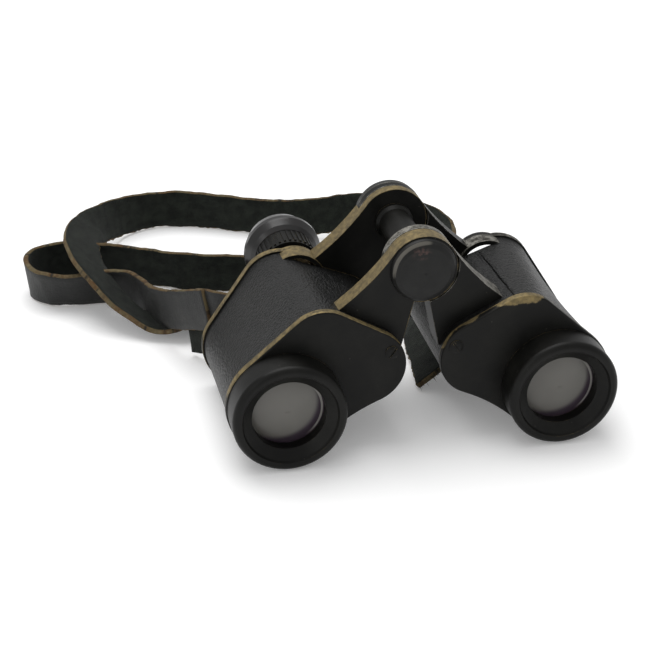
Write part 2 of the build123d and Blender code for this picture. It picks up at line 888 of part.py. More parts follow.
# A run is its band in plan, as high as its route climbs, kept between its two edges in elevation.
for name, route in (("strap_lug_run", strap_lug_route), ("strap_free_run", strap_free_route)):
    plan_points = [Vector(x, front + y) for x, y, z in route]
    lowest = min(z for x, y, z in route)
    highest = max(z for x, y, z in route)
    radii = corner_radii(plan_points)
    with BuildPart() as strap_run:
        with BuildSketch(Plane.XY.offset(lowest - strap_width / 2)):
            with BuildLine() as strap_path:
                FilletPolyline(*plan_points, radius=radii)
            trace(line_width=strap_thickness)
        extrude(amount=highest - lowest + strap_width)
        if highest > lowest:
            descent = [(front + y, z) for x, y, z in route if z > lowest]
            landing = next((front + y, z) for x, y, z in route if z == lowest)
            table_end = (front + max(y for x, y, z in route) + strap_width, lowest)
            centre_line = [*descent, landing, table_end]
            lower_edge = [(y, z - strap_width / 2) for y, z in centre_line]
            upper_edge = [(y, z + strap_width / 2) for y, z in reversed(centre_line)]
            with BuildSketch(Plane.YZ):
                with BuildLine():
                    Polyline(*lower_edge, *upper_edge, close=True)
                make_face()
            extrude(amount=-max(abs(x) for x, y, z in route) - strap_width, mode=Mode.INTERSECT)
    strap_length = sum(edge.length for edge in strap_path.edges())
    print(name, "radii", [round(radius, 1) for radius in radii])
    print(name, "length", round(strap_length, 1), "volume", round(strap_run.part.volume),
          "of", round(strap_length * strap_width * strap_thickness))
    save(strap_run, name)

# The folded end goes round the bar of the left lug, and meets the run face to face.
bar_centre = Vector(-lug_place[0], lug_bar_y, hinge_height + lug_place[1])
fold_inner = lug_wire_radius + strap_fold_gap
fold_outer = fold_inner + strap_thickness
run_start = Vector(strap_lug_route[0][0], front + strap_lug_route[0][1])
run_lead = run_start - Vector(bar_centre.X, bar_centre.Y)
with BuildPart() as strap_fold:
    fold_bottom = Vector(bar_centre.X, bar_centre.Y, bar_centre.Z - strap_width / 2)
    with BuildSketch(Plane(fold_bottom, x_dir=run_lead)):
        with Locations((run_lead.length / 2, 0)):
            Rectangle(run_lead.length, 2 * strap_thickness)
        Circle(fold_outer)
        Circle(fold_inner, mode=Mode.SUBTRACT)
    extrude(amount=strap_width)
save(strap_fold, "strap_fold")
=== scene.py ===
# %% [markdown]
# # Pocket prism binoculars with a torn neck strap
#
# The real thing is about 128 mm wide: two enamelled metal bodies in pebbled leather, folded about
# a centre hinge, two short objective rings in front and one black eyecup behind, because the right
# eyepiece is gone. A flat leather strap, torn through on one side, still hangs from the left lug and
# lies in loose bends beside it.
#
# The metal parts arrive finished in shape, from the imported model. This lesson gives them their
# finishes, and it models what a design program doesn't: the strap with its twists, its fuzzy inner
# face and its frayed end. Everything is in metres, in the frame of the model.

# %% Load the frame
import json
import math
import random

import bpy
from mathutils import Matrix, Vector, noise


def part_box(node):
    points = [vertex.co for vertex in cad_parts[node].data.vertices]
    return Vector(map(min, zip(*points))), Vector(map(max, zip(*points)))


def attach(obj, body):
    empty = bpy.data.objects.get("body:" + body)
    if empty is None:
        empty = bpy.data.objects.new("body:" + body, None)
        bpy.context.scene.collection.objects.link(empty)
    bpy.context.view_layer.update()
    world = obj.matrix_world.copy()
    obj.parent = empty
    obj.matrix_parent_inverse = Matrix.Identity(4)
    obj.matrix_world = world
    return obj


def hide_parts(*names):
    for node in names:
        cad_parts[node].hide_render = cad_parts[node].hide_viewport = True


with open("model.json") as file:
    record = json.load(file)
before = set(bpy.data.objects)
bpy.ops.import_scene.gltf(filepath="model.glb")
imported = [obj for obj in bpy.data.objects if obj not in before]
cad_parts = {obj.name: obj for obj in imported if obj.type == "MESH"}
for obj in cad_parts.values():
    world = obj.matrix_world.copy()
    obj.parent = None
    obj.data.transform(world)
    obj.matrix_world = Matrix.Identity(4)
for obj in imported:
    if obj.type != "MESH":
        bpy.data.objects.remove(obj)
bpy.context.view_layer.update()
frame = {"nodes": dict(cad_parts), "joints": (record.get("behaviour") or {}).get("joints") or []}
scene = bpy.context.scene
nodes = frame["nodes"]
hinge_joint = next(joint for joint in frame["joints"] if joint["name"] == "hinge_fold")
hinge_height = hinge_joint["pos_m"][2]
MM = 0.001

# %% [markdown]
# ## Camera
#
# The instrument is seen from its front left, from a little above, with a long lens, so that its
# lines hardly converge. The place, the direction and a small roll are written down; the matrix is
# worked out from them, which is steadier than aiming by eye.

# %% Camera
camera_place = Vector((-0.1461, -0.5121, 0.3038))
camera_azimuth = math.radians(-14.52)
camera_elevation = math.radians(27.52)
camera_roll = math.radians(2.01)
camera_lens_mm = 98.85
camera_shift = -0.0533

backward = Vector((
    math.sin(camera_azimuth) * math.cos(camera_elevation),
    -math.cos(camera_azimuth) * math.cos(camera_elevation),
    math.sin(camera_elevation),
))
level_right = Vector((math.cos(camera_azimuth), math.sin(camera_azimuth), 0))
right = Matrix.Rotation(camera_roll, 3, backward) @ level_right
up = backward.cross(right)
camera = bpy.data.objects.new("camera", bpy.data.cameras.new("camera"))
camera.matrix_world = Matrix((
    (right.x, up.x, backward.x, camera_place.x),
    (right.y, up.y, backward.y, camera_place.y),
    (right.z, up.z, backward.z, camera_place.z),
    (0, 0, 0, 1),
))
camera.data.lens = camera_lens_mm
camera.data.shift_x = camera_shift
camera.data.clip_start = 0.01
scene.collection.objects.link(camera)
scene.camera = camera
print("camera at", [round(value, 3) for value in camera_place])

# %% [markdown]
# ## Shader arithmetic
#
# A finish is mostly arithmetic on textures: more wear where an edge faces up, less where the grain
# is deep. Wiring Math nodes by hand hides that arithmetic. The class below wraps one socket, and
# its operators add the Math nodes, so that a mask reads like the sentence it stands for.

# %% Sockets that can be added and multiplied
class Value:
    """One output socket. Python's operators on it add Math nodes to its tree."""

    def __init__(self, finish, socket):
        self.finish = finish
        self.socket = socket

    def math(self, operation, *others):
        return self.finish.node("ShaderNodeMath", {"operation": operation}, [self, *others])

    def __add__(self, other):
        return self.math("ADD", other)

    def __radd__(self, other):
        return self.math("ADD", other)

    def __sub__(self, other):
        return self.math("SUBTRACT", other)

    def __rsub__(self, other):
        return self.finish.node("ShaderNodeMath", {"operation": "SUBTRACT"}, [other, self])

    def __mul__(self, other):
        return self.math("MULTIPLY", other)

    def __rmul__(self, other):
        return self.math("MULTIPLY", other)

    def __pow__(self, other):
        return self.math("POWER", other)

    def larger(self, other):
        return self.math("MAXIMUM", other)

    def smaller(self, other):
        return self.math("MINIMUM", other)

    def size(self):
        return self.math("ABSOLUTE")

    def ease(self, low, high):
        """0 below low, 1 above high, and a smooth step between them."""
        settings = {"interpolation_type": "SMOOTHSTEP", "clamp": True}
        inputs = {"Value": self, "From Min": low, "From Max": high}
        return self.finish.node("ShaderNodeMapRange", settings, inputs)


# %% A finish: one material and its Principled shader
class Finish:
    """A node material. Constants go on the shader's own sockets, and textures through node()."""

    def __init__(self, name, **constants):
        self.material = bpy.data.materials.new(name)
        self.material.use_nodes = True
        self.tree = self.material.node_tree
        self.shader = self.tree.nodes["Principled BSDF"]
        for socket, value in constants.items():
            self.shader.inputs[socket.replace("_", " ")].default_value = value

    def node(self, kind, settings=None, inputs=(), output=0):
        made = self.tree.nodes.new(kind)
        for key, value in (settings or {}).items():
            setattr(made, key, value)
        pairs = inputs.items() if isinstance(inputs, dict) else enumerate(inputs)
        for key, value in pairs:
            if isinstance(value, Value):
                self.tree.links.new(value.socket, made.inputs[key])
            else:
                made.inputs[key].default_value = value
        return Value(self, made.outputs[output])

    def place(self):
        return self.node("ShaderNodeTexCoord", output="Object")

    def parts(self, vector):
        split = self.node("ShaderNodeSeparateXYZ", inputs=[vector])
        outputs = split.socket.node.outputs
        return [Value(self, outputs[axis]) for axis in "XYZ"]

    def stretched(self, vector, factors):
        return self.node("ShaderNodeVectorMath", {"operation": "MULTIPLY"}, [vector, factors])

    def cloud(self, vector, per_metre, detail=3.0, rough=0.55, warp=0.0):
        inputs = {
            "Vector": vector,
            "Scale": per_metre,
            "Detail": detail,
            "Roughness": rough,
            "Distortion": warp,
        }
        return self.node("ShaderNodeTexNoise", inputs=inputs, output="Fac")

    def cells(self, vector, per_metre, feature="F1", even=1.0, output="Distance"):
        inputs = {"Vector": vector, "Scale": per_metre, "Randomness": even}
        return self.node("ShaderNodeTexVoronoi", {"feature": feature}, inputs, output)

    def mix(self, factor, first, second):
        """A colour between first, where factor is 0, and second, where it is 1."""
        made = self.tree.nodes.new("ShaderNodeMix")
        made.data_type = "RGBA"
        for index, value in ((0, factor), (6, first), (7, second)):
            if isinstance(value, Value):
                self.tree.links.new(value.socket, made.inputs[index])
            else:
                made.inputs[index].default_value = value if index == 0 else (*value, 1.0)
        return Value(self, made.outputs[2])

    def edges(self, reach, gain):
        """Near 1 within reach of a sharp edge, where a rounded normal leaves the real one."""
        rounded = self.node("ShaderNodeBevel", {"samples": 8}, [reach])
        real = self.node("ShaderNodeNewGeometry", output="Normal")
        settings = {"operation": "DOT_PRODUCT"}
        agreement = self.node("ShaderNodeVectorMath", settings, [rounded, real], "Value")
        return ((1 - agreement) * gain).smaller(1.0)

    def from_line(self, place, start, end):
        """Distance of place from the straight line between start and end."""
        first, last = Vector(start), Vector(end)
        middle = (first + last) / 2
        run = (last - first) / 2
        half = run.length
        offset = self.node("ShaderNodeVectorMath", {"operation": "SUBTRACT"}, [place, middle])
        unit = run.normalized()
        settings = {"operation": "DOT_PRODUCT"}
        along = self.node("ShaderNodeVectorMath", settings, [offset, unit], "Value")
        past = (along.size() - half).larger(0.0)
        whole = self.node("ShaderNodeVectorMath", {"operation": "LENGTH"}, [offset], "Value")
        beside = (whole * whole - along * along).larger(0.0)
        return (beside + past * past) ** 0.5

    def bump(self, height, depth, strength=1.0):
        inputs = {"Height": height, "Distance": depth, "Strength": strength}
        return self.node("ShaderNodeBump", inputs=inputs)

    def drive(self, **values):
        for socket, value in values.items():
            self.tree.links.new(value.socket, self.shader.inputs[socket.replace("_", " ")])
        return self


# %% [markdown]
# ## Strap: the route
#
# The strap is one flat piece of leather, 15 mm wide, that mostly stands on its edge. It leaves the
# left lug, drops to the table, snakes out to a narrow tip, comes back behind the left body, turns,
# and crosses over itself on its way round a large bend. It arches behind the hinge, and its torn
# end lies under the right body.
#
# Its centreline is one NURBS spline through a few listed points, because leather bends in long
# smooth curves. Each point also says how far the strap leans: 0 stands on edge, a positive lean
# tips its upper edge to the left of the way it runs.

# %% Route and lean of the strap
strap_width = 15 * MM
strap_thickness = 1.9 * MM
# (x, y, height, lean in degrees), in millimetres
strap_route = [
    (-60.0, 29.0, 23.4, 0),
    (-64.5, 38.0, 19.4, 2),
    (-69.5, 49.0, 14.2, 6),
    (-74.0, 61.0, 10.0, 8),
    (-76.5, 73.0, 8.0, 4),
    (-80.5, 82.5, 7.7, 6),
    (-90.5, 85.5, 7.8, 14),
    (-101.5, 83.5, 7.7, 20),
    (-112.0, 86.5, 7.8, 16),
    (-117.2, 96.5, 7.5, 8),
    (-114.2, 106.5, 7.6, 4),
    (-104.5, 112.3, 7.5, -8),
    (-93.0, 111.0, 7.4, -14),
    (-80.5, 105.0, 7.5, -6),
    (-67.5, 97.0, 7.7, 0),
    (-54.0, 90.5, 7.7, 0),
    (-40.0, 88.5, 7.7, 0),
    (-28.0, 82.0, 7.7, 0),
    (-25.5, 69.0, 7.7, 0),
    (-33.0, 58.5, 7.9, 8),
    (-46.0, 55.0, 7.3, 26),
    (-58.0, 55.5, 4.8, 62),
    (-71.5, 58.5, 2.4, 84),
    (-83.5, 65.5, 6.5, 70),
    (-93.0, 76.5, 15.8, 62),
    (-96.5, 90.5, 18.2, 60),
    (-96.0, 105.5, 18.0, 58),
    (-91.5, 121.0, 14.5, 44),
    (-84.5, 136.5, 10.4, 22),
    (-73.0, 148.0, 8.2, 8),
    (-58.5, 152.0, 8.0, 0),
    (-43.5, 148.0, 8.0, -4),
    (-28.5, 140.6, 8.0, -4),
    (-13.5, 133.4, 8.2, 0),
    (1.5, 130.0, 9.5, 10),
    (15.0, 129.5, 11.0, 25),
    (29.0, 125.5, 11.5, 35),
    (40.0, 116.5, 11.0, 35),
    (45.5, 104.0, 10.5, 30),
    (44.5, 90.5, 9.5, 20),
    (39.0, 78.5, 8.5, 12),
    (31.5, 67.5, 8.0, 15),
    (24.5, 56.0, 7.8, 25),
    (20.0, 45.0, 7.2, 35),
    (17.5, 34.0, 6.7, 44),
    (16.5, 22.0, 6.5, 47),
    (15.5, 11.0, 6.4, 48),
    (14.0, 1.0, 6.3, 48),
]


def spline_points(points, steps):
    """Points read from a NURBS spline whose control points are the given ones, in metres."""
    curve = bpy.data.curves.new("route", "CURVE")
    curve.dimensions = "3D"
    curve.resolution_u = steps
    spline = curve.splines.new("NURBS")
    spline.points.add(len(points) - 1)
    for control, (x, y, z) in zip(spline.points, points):
        control.co = (x, y, z, 1.0)
    spline.order_u = 3
    spline.use_endpoint_u = True
    carrier = bpy.data.objects.new("route", curve)
    scene.collection.objects.link(carrier)
    bpy.context.view_layer.update()
    mesh = bpy.data.meshes.new_from_object(carrier)
    read = [vertex.co.copy() for vertex in mesh.vertices]
    bpy.data.objects.remove(carrier)
    return read


strap_controls = [(x * MM, y * MM, z * MM) for x, y, z, lean in strap_route]
strap_line = spline_points(strap_controls, 14)
strap_length = sum((b - a).length for a, b in zip(strap_line, strap_line[1:]))
print("strap points", len(strap_line), "length", round(strap_length, 4))

# %% [markdown]
# ## Strap: the ribbon
#
# A curve with a bevel can't lean or fray, so the ribbon is built as a mesh. At each point of the
# centreline stands a small outline of the leather's section, turned by the lean. The faces keep
# three materials: the grain face outside, the rough flesh face inside and the cut edges. A UV map
# in metres, along and across, lets the grain follow every bend.

# %% Build a ribbon along a line
GRAIN, FLESH, EDGE = range(3)
across_steps = 6


def leans_along(line, controls, leans):
    """The lean at every point of line, eased between the control points nearest to it."""
    stations = []
    last = 0
    for control in controls:
        target = Vector(control)
        reach = range(last, min(last + 60, len(line)))
        last = min(reach, key=lambda i: (line[i] - target).length)
        stations.append(last)
    values = []
    for i in range(len(line)):
        after = next((k for k, s in enumerate(stations) if s >= i), len(stations) - 1)
        before = max(after - 1, 0)
        gap = stations[after] - stations[before]
        share = min(1.0, (i - stations[before]) / gap) if gap > 0 else 1.0
        eased = share * share * (3 - 2 * share)
        values.append(leans[before] + (leans[after] - leans[before]) * eased)
    return [math.radians(value) for value in values]


def section_outline(width, thickness, ragged):
    """(across, out, material of the face that follows) round the leather's section."""
    half, skin = width / 2, thickness / 2
    steps = [-half + width * k / across_steps for k in range(across_steps + 1)]
    steps[0] += 0.15 * thickness
    steps[-1] -= 0.15 * thickness
    outline = [(v, skin, GRAIN) for v in steps[:-1]]
    outline += [(steps[-1], skin, EDGE), (half, 0.55 * skin, EDGE), (half, -0.5 * skin, EDGE)]
    outline += [(v, -skin, FLESH) for v in reversed(steps[1:])]
    outline += [(steps[0], -skin, EDGE), (-half - ragged, -0.4 * skin, EDGE)]
    outline += [(-half, 0.55 * skin, EDGE)]
    return outline


def ribbon(name, line, leans, width, thickness, ragged=0.0, seed=3):
    """A leather ribbon along line. ragged is how far fibres of the lower edge stand out."""
    draw = random.Random(seed)
    rows = []
    travelled = 0.0
    count = len(section_outline(width, thickness, 0.0))
    vertices, uvs = [], []
    for i, centre in enumerate(line):
        ahead = line[min(i + 1, len(line) - 1)]
        behind = line[max(i - 1, 0)]
        travelled += (centre - behind).length if i else 0.0
        along = (ahead - behind).normalized()
        left = Vector((0, 0, 1)).cross(along).normalized()
        upright = along.cross(left).normalized()
        rise = math.cos(leans[i]) * upright + math.sin(leans[i]) * left
        out = math.cos(leans[i]) * left - math.sin(leans[i]) * upright
        fray = ragged * (0.2 + draw.random() ** 2)
        wave = 1.0 + 0.06 * noise.noise(centre * 130) + 0.03 * noise.noise(centre * 420)
        ring = []
        for v, w, _ in section_outline(width * wave, thickness, fray):
            ring.append(len(vertices))
            lump = 0.12 * thickness * noise.noise(centre * 300 + rise * v * 300)
            vertices.append(centre + rise * v + out * (w + lump * (1 if w > 0 else 0.6)))
            uvs.append((travelled, v))
        rows.append(ring)
    kinds = [kind for _, _, kind in section_outline(width, thickness, 0.0)]
    faces, materials = [], []
    for ring, following in zip(rows, rows[1:]):
        for k in range(count):
            after = (k + 1) % count
            faces.append((ring[k], ring[after], following[after], following[k]))
            materials.append(kinds[k])
    faces.append(tuple(reversed(rows[0])))
    faces.append(tuple(rows[-1]))
    materials += [EDGE, EDGE]
    mesh = bpy.data.meshes.new(name)
    mesh.from_pydata(vertices, [], faces)
    layer = mesh.uv_layers.new(name="along_across")
    for loop in mesh.loops:
        layer.data[loop.index].uv = uvs[loop.vertex_index]
    for face, kind in zip(mesh.polygons, materials):
        face.material_index = kind
        face.use_smooth = True
    made = bpy.data.objects.new(name, mesh)
    scene.collection.objects.link(made)
    return made


lean_angles = leans_along(strap_line, strap_controls, [lean for x, y, z, lean in strap_route])
strap = ribbon("neck_strap", strap_line, lean_angles, strap_width, strap_thickness, 0.45 * MM)
print("strap faces", len(strap.data.polygons))

# %% [markdown]
# ## Strap: the end in the lug
#
# One end is folded round the bar of the left lug, and its tail sticks out past the fold, a little
# lower than the strap itself. It is a second short ribbon that runs round the bar.

# %% Folded end round the lug
lug_low, lug_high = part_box("left_strap_lug")
bar_x = (lug_low.x + lug_high.x) / 2
bar_y = lug_high.y - 1.1 * MM
bar_z = (lug_low.z + lug_high.z) / 2
fold_radius = 2.5 * MM
fold_points = [(-64.2 * MM, 41.5 * MM, 8.6 * MM), (-61.0 * MM, 37.0 * MM, 9.6 * MM)]
fold_points += [(-57.5 * MM, 32.5 * MM, 13.0 * MM)]
fold_turns = 7
for turn in range(fold_turns):
    angle = math.radians(100 - 45 * turn)
    height = bar_z - 2.6 * MM + 3.0 * MM * turn / (fold_turns - 1)
    place = (math.cos(angle) * fold_radius * 1.08, math.sin(angle) * fold_radius * 1.08)
    fold_points.append((bar_x + place[0], bar_y + place[1], height))
fold_points.append((strap_line[0].x + 0.4 * MM, strap_line[0].y, strap_line[0].z + 0.3 * MM))
fold_points.append((strap_line[6].x + 1.9 * MM, strap_line[6].y + 0.9 * MM, strap_line[6].z))
fold_line = spline_points(fold_points, 8)
fold = ribbon("strap_folded_end", fold_line, [0.0] * len(fold_line), strap_width * 0.97, 1.6 * MM)
print("fold points", len(fold_line))

# %% [markdown]
# ## Strap: the torn end
#
# Leather tears into fibres. A fringe of thin, bent, tapering threads grows out of the last section,
# and some shorter ones out of the lower edge near it. Each thread is a small three-sided spike, so
# that the tear has an outline and not only a texture.

# %% Fibres of the tear
def thread(vertices, faces, root, aim, length, width, bend):
    """One tapering fibre of three joints, from root along aim, bending as it goes."""
    sideways = aim.cross(Vector((0.3, 0.2, 0.9))).normalized()
    first = len(vertices)
    joints = 3
    for step in range(joints + 1):
        share = step / joints
        centre = root + aim * length * share + bend * length * share * share
        radius = width * (1 - 0.85 * share)
        for corner in range(3):
            angle = 2 * math.pi * corner / 3
            offset = sideways * math.cos(angle) + aim.cross(sideways) * math.sin(angle)
            vertices.append(centre + offset * radius)
    for step in range(joints):
        for corner in range(3):
            a = first + 3 * step + corner
            b = first + 3 * step + (corner + 1) % 3
            faces.append((a, b, b + 3, a + 3))
    faces.append((first + 2, first + 1, first))
    top = first + 3 * joints
    faces.append((top, top + 1, top + 2))


tear_draw = random.Random(11)
tear_vertices, tear_faces = [], []
tear_aim = (strap_line[-1] - strap_line[-4]).normalized()
tear_left = Vector((0, 0, 1)).cross(tear_aim).normalized()
tear_up = tear_aim.cross(tear_left).normalized()
tear_lean = lean_angles[-1]
tear_rise = math.cos(tear_lean) * tear_up + math.sin(tear_lean) * tear_left
tear_out = math.cos(tear_lean) * tear_left - math.sin(tear_lean) * tear_up
tear_threads = 90
for _ in range(tear_threads):
    v = strap_width * (tear_draw.random() - 0.5) * 0.96
    w = strap_thickness * (tear_draw.random() - 0.5) * 0.8
    root = strap_line[-1] + tear_rise * v + tear_out * w - tear_aim * 0.6 * MM
    jitter = Vector([tear_draw.uniform(-0.45, 0.45) for _ in range(3)])
    reach = (0.8 + 2.8 * tear_draw.random() ** 2) * MM
    aim = (tear_aim + jitter).normalized()
    bend = Vector([tear_draw.uniform(-0.4, 0.4) for _ in range(3)])
    if (root + (aim + bend) * reach).z < 0.3 * MM:
        aim.z = abs(aim.z)
        bend.z = 0.0
    thread(tear_vertices, tear_faces, root, aim, reach, 0.16 * MM, bend)

edge_threads = 260
for _ in range(edge_threads):
    share = tear_draw.random()
    index = int(len(strap_line) * (0.5 + 0.49 * share))
    centre = strap_line[index]
    way = (strap_line[index + 1] - strap_line[index - 1]).normalized()
    left = Vector((0, 0, 1)).cross(way).normalized()
    lean = lean_angles[index]
    rise = math.cos(lean) * way.cross(left).normalized() + math.sin(lean) * left
    out = math.cos(lean) * left - math.sin(lean) * way.cross(left).normalized()
    root = centre - rise * strap_width * 0.47 - out * strap_thickness * 0.3
    jitter = Vector([tear_draw.uniform(-0.5, 0.5) for _ in range(3)])
    aim = (-rise * 0.5 - out * 0.7 + jitter).normalized()
    aim.z = abs(aim.z) * 0.3
    reach = (0.3 + 0.9 * tear_draw.random() ** 2) * MM
    thread(tear_vertices, tear_faces, root, aim, reach, 0.09 * MM, Vector((0, 0, 0)))

fibre_mesh = bpy.data.meshes.new("strap_fibres")
fibre_mesh.from_pydata(tear_vertices, [], tear_faces)
fibres = bpy.data.objects.new("strap_fibres", fibre_mesh)
scene.collection.objects.link(fibres)
print("fibres", tear_threads + edge_threads)

# %% Hand the strap to the frame
for piece in (strap, fold, fibres):
    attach(piece, "left_half")
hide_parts("strap_lug_run", "strap_free_run")
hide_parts("strap_fold")

# %% [markdown]
# ## Finish: strap leather
#
# The grain face is dark grey-black, creased finely across its run where it has bent for years. The
# flesh face is matt, fuzzy and slightly green. The cut edges were never dyed deeply, so they have
# worn back to tan and rust brown. All three read the same UV map in metres.

# %% Strap finishes
def strap_place(finish):
    return finish.node("ShaderNodeUVMap", {"uv_map": "along_across"})


def strap_grain_finish():
    finish = Finish("strap_grain", Specular_IOR_Level=0.32, Sheen_Weight=0.05)
    place = strap_place(finish)
    creases = finish.cloud(finish.stretched(place, (2.4, 0.35, 1.0)), 900, 4, 0.6, 0.8)
    pores = finish.cells(place, 2600)
    patches = finish.cloud(place, 90, 4)
    scuffs = finish.cloud(finish.stretched(place, (0.3, 1.6, 1.0)), 700, 5, 0.7)
    worn = (scuffs * 0.7 + patches * 0.5).ease(0.66, 0.86)
    base = finish.mix(patches.ease(0.35, 0.7), (0.0075, 0.0080, 0.0076), (0.017, 0.0175, 0.0165))
    colour = finish.mix(worn * 0.55, base, (0.060, 0.058, 0.050))
    height = creases * 0.8 + pores * 0.35
    rough = 0.42 + patches * 0.18 + creases * 0.10
    normal = finish.bump(height, 0.35 * MM, 0.75)
    return finish.drive(Base_Color=colour, Roughness=rough, Normal=normal)


def strap_flesh_finish():
    finish = Finish("strap_flesh", Specular_IOR_Level=0.12, Sheen_Weight=0.06)
    place = strap_place(finish)
    fuzz = finish.cloud(place, 1900, 6, 0.75)
    mottles = finish.cloud(place, 230, 5, 0.6)
    dark = finish.mix(mottles.ease(0.32, 0.68), (0.0058, 0.0072, 0.0056), (0.0150, 0.0185, 0.0140))
    colour = finish.mix(fuzz.ease(0.56, 0.78) * 0.5, dark, (0.034, 0.037, 0.027))
    normal = finish.bump(fuzz, 0.7 * MM, 0.9)
    return finish.drive(Base_Color=colour, Roughness=0.82 + fuzz * 0.15, Normal=normal)


def strap_edge_finish():
    finish = Finish("strap_cut_edge", Specular_IOR_Level=0.2)
    place = strap_place(finish)
    layers = finish.cloud(finish.stretched(place, (0.5, 3.0, 1.0)), 1500, 5, 0.7)
    rust = finish.cloud(place, 120, 4, 0.6)
    dye = finish.cloud(place, 330, 5, 0.65)
    bare = finish.mix(rust.ease(0.40, 0.62), (0.088, 0.068, 0.034), (0.072, 0.036, 0.013))
    lit = finish.mix(layers.ease(0.40, 0.72) * 0.6, bare, (0.190, 0.158, 0.090))
    colour = finish.mix(dye.ease(0.53, 0.66), lit, (0.016, 0.015, 0.012))
    normal = finish.bump(layers, 0.4 * MM, 0.9)
    return finish.drive(Base_Color=colour, Roughness=0.7 + layers * 0.2, Normal=normal)


def fibre_finish():
    finish = Finish("strap_fibre", Specular_IOR_Level=0.15)
    tone = finish.cloud(finish.place(), 700, 3)
    colour = finish.mix(tone.ease(0.4, 0.7), (0.007, 0.0085, 0.0065), (0.045, 0.040, 0.026))
    return finish.drive(Base_Color=colour, Roughness=0.8 + tone * 0.1)


strap_finishes = [strap_grain_finish(), strap_flesh_finish(), strap_edge_finish()]
for piece in (strap, fold):
    for finish in strap_finishes:
        piece.data.materials.append(finish.material)
fibres.data.materials.append(fibre_finish().material)
print("strap finishes", [finish.material.name for finish in strap_finishes])

# %% [markdown]
# ## Finish: black enamel, worn to the metal
#
# The castings and covers are brass under a satin black enamel. Hands and pockets have rubbed it
# off where edges stand proud, and most where they face up, so the bare line is dull gold, broken
# and uneven. The edge mask compares the real normal with one that is rounded over about a
# millimetre: they differ only near a sharp edge.

# %% Enamel
ENAMEL = (0.0034, 0.0034, 0.0029)
ENAMEL_PALE = (0.0078, 0.0076, 0.0064)
BARE_BRASS = (0.235, 0.180, 0.085)
DULL_BRASS = (0.130, 0.103, 0.055)
BARE_SILVER = (0.26, 0.25, 0.225)
DULL_SILVER = (0.075, 0.072, 0.062)


def enamel_finish(name, reach=0.9 * MM, wear=1.0, rough=0.40, sides=0.0, silver=False, spots=()):
    """Worn enamel. sides is how far the narrow sides that face up are rubbed through, and spots
    are (start, end, radius) of extra rubbed strips."""
    finish = Finish(name, Specular_IOR_Level=0.17)
    place = finish.place()
    clouds = finish.cloud(place, 85, 5, 0.6)
    flecks = finish.cloud(place, 520, 6, 0.7)
    pits = finish.cloud(place, 2600, 3, 0.6)
    normal = finish.node("ShaderNodeTexCoord", output="Normal")
    _, endways, facing = finish.parts(normal)
    upward = facing.ease(-0.5, 0.9)
    edge = finish.edges(reach, 5.0)
    rub = edge * (0.34 + upward * 0.62) * wear + (clouds - 0.5) * 0.9 + (flecks - 0.5) * 0.55
    if sides:
        side_face = facing.ease(-0.1, 0.4) * (1 - endways.size().ease(0.5, 0.9))
        rub = rub + side_face * sides
    for start, end, radius in spots:
        rub = rub + (1 - finish.from_line(place, start, end).ease(radius * 0.4, radius)) * 0.75
    bare = rub.ease(0.44, 0.62)
    thin = rub.ease(0.30, 0.52)
    dust = finish.cells(place, 240, "F1", 1.0)
    specks = 1 - dust.ease(0.030, 0.060)
    tones = (DULL_SILVER, BARE_SILVER) if silver else (DULL_BRASS, BARE_BRASS)
    black = finish.mix(clouds.ease(0.35, 0.7), ENAMEL, ENAMEL_PALE)
    primed = finish.mix(thin * 0.5, black, (0.036, 0.030, 0.019))
    metal = finish.mix(flecks.ease(0.38, 0.64), *tones)
    colour = finish.mix(bare, primed, metal)
    dusty = finish.mix(specks * 0.25, colour, (0.14, 0.13, 0.11))
    roughness = rough + clouds * 0.12 + pits * 0.06 + bare * 0.05
    normal = finish.bump(pits * 0.4 + flecks * 0.35 - bare * 0.5, 0.10 * MM, 0.5)
    return finish.drive(
        Base_Color=dusty, Roughness=roughness, Metallic=bare * 0.6, Normal=normal
    )


# %% [markdown]
# ## Finish: pebbled body leather
#
# The bodies are wrapped in thin black leather, pressed with a fine pebble. It shrinks and creases
# towards the inner edge, and the pebbles there join into short wrinkles. Pebbles are Voronoi
# cells: the distance to the cell's centre is the slope of a small dome.

# %% Body leather
SEAM_X = 29.5 * MM


def body_leather_finish(name, side, seam=False):
    finish = Finish(name, Specular_IOR_Level=0.30)
    place = finish.place()
    x, _, _ = finish.parts(place)
    drift = finish.cloud(place, 260, 3)
    domes = 1 - finish.cells(place, 1250, "SMOOTH_F1")
    grit = 1 - finish.cells(place, 2700)
    folds = finish.cloud(finish.stretched(place, (1.0, 0.28, 1.0)), 560, 4, 0.6, 1.4)
    inner = 1 - (x * side).ease(20 * MM, 36 * MM)
    height = domes * (1 - inner * 0.5) + grit * 0.35 + folds * (0.25 + inner * 0.9)
    patches = finish.cloud(place, 70, 4)
    rubbed = (domes * 0.6 + patches * 0.7).ease(0.80, 1.02)
    base = finish.mix(patches.ease(0.3, 0.7), (0.0020, 0.0022, 0.0020), (0.0048, 0.0048, 0.0043))
    colour = finish.mix(rubbed * 0.22, base, (0.036, 0.035, 0.030))
    if seam:
        bend = (drift - 0.5) * 1.2 * MM
        gap = (x - SEAM_X + bend).size()
        beyond = (x - SEAM_X).ease(0.0, 1.5 * MM) * (1 - (x - SEAM_X).ease(9 * MM, 14 * MM))
        cross = finish.cloud(finish.stretched(place, (0.25, 1.0, 0.4)), 620, 3, 0.5, 0.9)
        height = height + cross * beyond * 1.3 + gap.ease(0.2 * MM, 0.8 * MM) * 1.2
        colour = finish.mix((1 - gap.ease(0.2 * MM, 0.6 * MM)) * 0.8, colour, (0.0012, 0.0012, 0.0011))
    roughness = 0.30 + patches * 0.16 + drift * 0.10
    normal = finish.bump(height, 0.55 * MM, 0.95)
    return finish.drive(Base_Color=colour, Roughness=roughness, Normal=normal)
